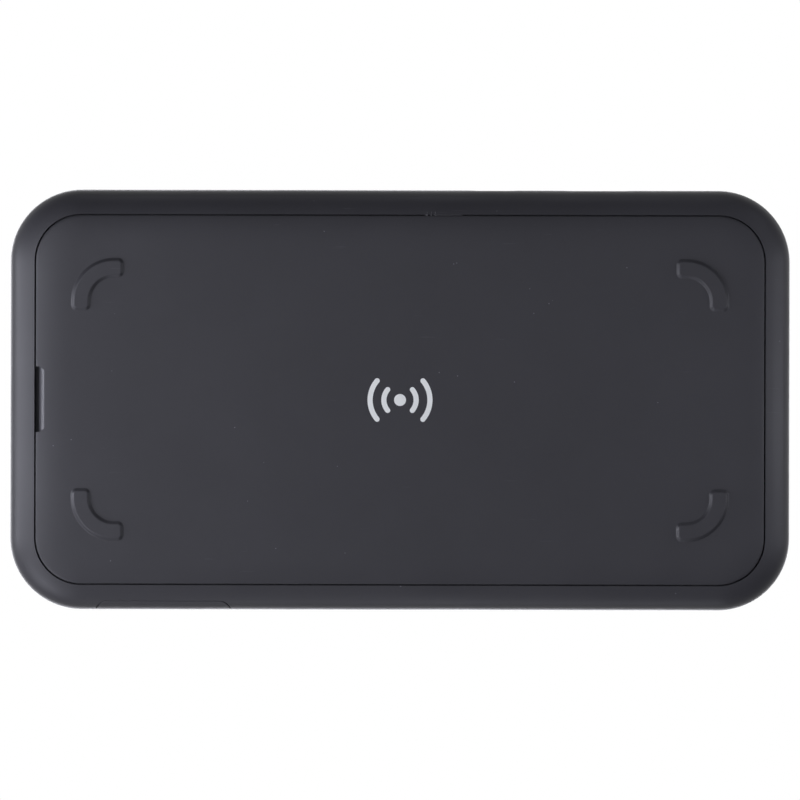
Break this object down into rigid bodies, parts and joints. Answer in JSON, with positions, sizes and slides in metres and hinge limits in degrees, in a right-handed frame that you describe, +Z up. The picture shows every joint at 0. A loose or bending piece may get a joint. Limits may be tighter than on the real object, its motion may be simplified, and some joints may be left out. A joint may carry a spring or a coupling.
{
  "type": "mobile hotspot",
  "caption": "Rounded rectangular battery-powered mobile hotspot with a swing-off rear cover on arc feet, a hinged port door, side keys and a glass front.",
  "frame": {"origin": "under the middle of the device, at the level of the undersides of its four feet", "axes": "+X along the long side towards the pry notch, +Y towards the side with the keys, +Z up out of the display"},
  "size_m": [0.15, 0.0808, 0.018],
  "materials": {
    "soft_black": "soft-touch matte black, very fine grain",
    "inner_black": "matte black moulded plastic",
    "gloss_black": "black-backed cover glass, polished",
    "screen": "display stack, smooth",
    "rubber": "black foam or silicone",
    "steel": "bright stamped steel",
    "tin": "tin-plated sheet",
    "gold": "gold-plated spring metal",
    "board_green": "glass-epoxy board under solder mask",
    "chip_black": "moulded package",
    "port_black": "moulded connector plastic",
    "film_amber": "flexible printed film",
    "battery_grey": "wrapped lithium-ion cells",
    "label_white": "paper-like printed film, left blank",
    "pad_blue": "soft thermal pad",
    "graphite": "graphite-faced spreader sheet",
    "clear": "clear moulded plastic",
    "card_white": "white moulded plastic"
  },
  "bodies": {
    "housing": {"antenna_bottom": "film_amber", "antenna_left": "film_amber", "antenna_right": "film_amber", "antenna_top": "film_amber", "battery_connector": "port_black", "battery_contact_1": "gold", "battery_contact_2": "gold", "battery_contact_3": "gold", "battery_contact_4": "gold", "bay_label": "label_white", "display_flex": "film_amber", "display_module": "screen", "ethernet_contacts": "gold", "ethernet_jack": "port_black", "front_glass": "gloss_black", "front_housing": "inner_black", "glass_adhesive": "rubber", "heat_spreader": "graphite", "main_board": "board_green", "mmwave_module_left": "chip_black", "mmwave_module_top": "chip_black", "modem_chip": "chip_black", "port_door_pin": "steel", "power_chip": "chip_black", "power_switch": "tin", "radio_chip": "chip_black", "rear_housing": "soft_black", "reset_switch": "tin", "screw_1": "steel", "screw_2": "steel", "screw_3": "steel", "screw_4": "steel", "screw_5": "steel", "screw_6": "steel", "shield_modem": "tin", "shield_power": "tin", "shield_radio": "tin", "shield_wifi": "tin", "sim_socket": "steel", "status_led": "card_white", "status_light_guide": "clear", "thermal_pad": "pad_blue", "usb_c_shell": "steel", "usb_c_tongue": "port_black", "wifi_chip": "chip_black", "wps_switch": "tin"},
    "rear_cover": {"rear_cover": "soft_black"},
    "battery": {"battery_pack": "battery_grey", "battery_cap": "inner_black", "battery_label": "label_white"},
    "port_door": {"port_door": "soft_black", "port_door_seal": "rubber"},
    "power_button": {"power_button": "soft_black", "power_plunger": "card_white"},
    "wps_button": {"wps_button": "soft_black", "wps_plunger": "card_white"},
    "reset_button": {"reset_button": "card_white"},
    "sim_card": {"sim_card": "card_white"}
  },
  "joints": [
    {"name": "rear_cover_swing", "type": "hinge", "parent": "housing", "child": "rear_cover", "pos_m": [-0.07, 0, 0.0011], "axis": [0, 1, 0], "range_deg": [0, 80]},
    {"name": "battery_lift", "type": "slide", "parent": "housing", "child": "battery", "axis": [0, 0, -1], "range_m": [0, 0.0197]},
    {"name": "port_door_swing", "type": "hinge", "parent": "housing", "child": "port_door", "pos_m": [0.04545, -0.0394, 0.013], "axis": [-1, 0, 0], "range_deg": [0, 100]},
    {"name": "power_press", "type": "slide", "parent": "housing", "child": "power_button", "axis": [0, -1, 0], "range_m": [0, 0.0004]},
    {"name": "wps_press", "type": "slide", "parent": "housing", "child": "wps_button", "axis": [0, -1, 0], "range_m": [0, 0.0004]},
    {"name": "reset_press", "type": "slide", "parent": "housing", "child": "reset_button", "axis": [0, 0, 1], "range_m": [0, 0.0003]},
    {"name": "sim_slide", "type": "slide", "parent": "housing", "child": "sim_card", "axis": [1, 0, 0], "range_m": [0, 0.0065]}
  ],
  "couplings": [
    {"joint": "battery_lift", "follows": "rear_cover_swing", "m_per_rad": 0.014}
  ]
}
